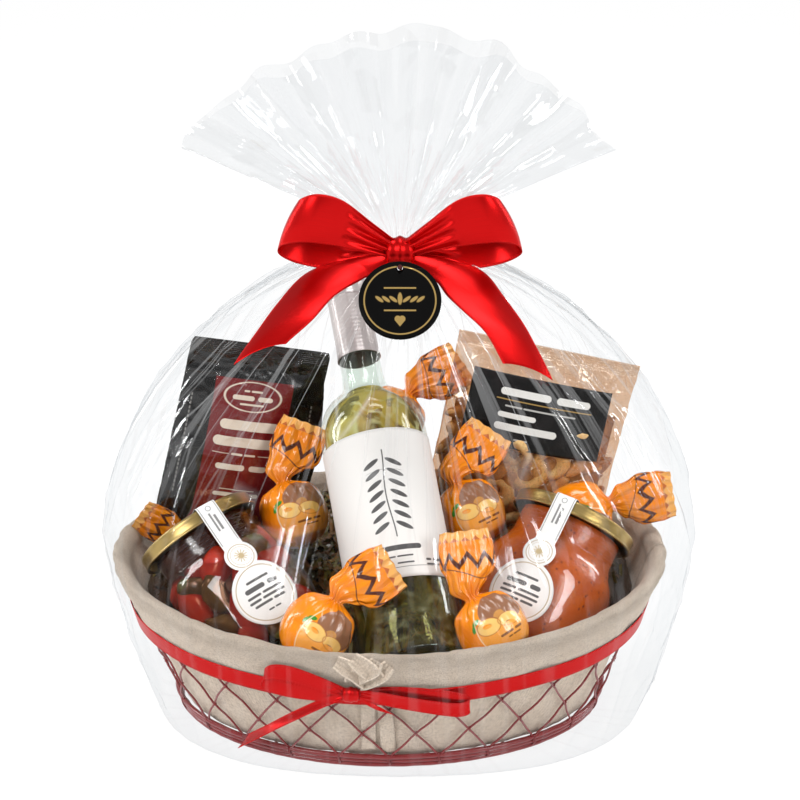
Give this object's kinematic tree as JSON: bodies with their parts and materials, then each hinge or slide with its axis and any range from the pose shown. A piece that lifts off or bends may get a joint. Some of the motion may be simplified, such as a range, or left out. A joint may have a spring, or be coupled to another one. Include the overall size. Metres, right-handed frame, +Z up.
{
  "type": "wrapped gift basket",
  "caption": "Oval wire basket with linen lining, bottle, jars, packs and wrapped sweets on shreds, under clear film gathered by a satin bow with a round tag.",
  "frame": {"origin": "middle of the bounding box's underside: the flat foot of the film on the ground", "axes": "+Z up, -Y towards the side that shows the labels and the small bow, +X to the viewer's right"},
  "size_m": [0.42, 0.352, 0.4903],
  "materials": {
    "red_wire": "glossy dark red lacquer",
    "linen": "plain woven linen",
    "red_satin": "satin with stitched edges",
    "bottle_glass": "clear",
    "pale_wine": "clear pale yellow drink",
    "capsule": "pale foil",
    "white_paper": "smooth",
    "jar_glass": "clear",
    "gold_lid": "brushed gold lacquer",
    "peppers": "wet preserved vegetables",
    "spread": "smooth vegetable spread",
    "pouch_foil": "glossy printed foil",
    "biscuits_in_film": "baked biscuits in clear film",
    "black_card": "matt print",
    "sweet_wrap": "glossy printed film",
    "paper_shreds": "glossy crinkled strips",
    "tag_card": "matt print with a gold ring",
    "thread": "twisted thread",
    "clear_film": "clear crinkled film"
  },
  "bodies": {
    "root": {"basket_frame": "red_wire", "linen_liner": "linen", "liner_tie": "linen", "narrow_ribbon": "red_satin", "bottle_glass": "bottle_glass", "bottle_wine": "pale_wine", "bottle_capsule": "capsule", "bottle_label": "white_paper", "jar_left_glass": "jar_glass", "jar_left_lid": "gold_lid", "jar_left_seal": "white_paper", "jar_left_peppers": "peppers", "jar_right_glass": "jar_glass", "jar_right_lid": "gold_lid", "jar_right_seal": "white_paper", "jar_right_spread": "spread", "nut_pouch": "pouch_foil", "biscuit_bag": "biscuits_in_film", "biscuit_bag_label": "black_card", "sweet_1": "sweet_wrap", "sweet_2": "sweet_wrap", "sweet_3": "sweet_wrap", "sweet_4": "sweet_wrap", "sweet_5": "sweet_wrap", "sweet_6": "sweet_wrap", "sweet_7": "sweet_wrap", "shred_filling": "paper_shreds", "satin_bow": "red_satin", "gift_tag": "tag_card", "tag_thread": "thread", "cellophane_wrap": "clear_film", "cellophane_fan": "clear_film"}
  },
  "joints": []
}
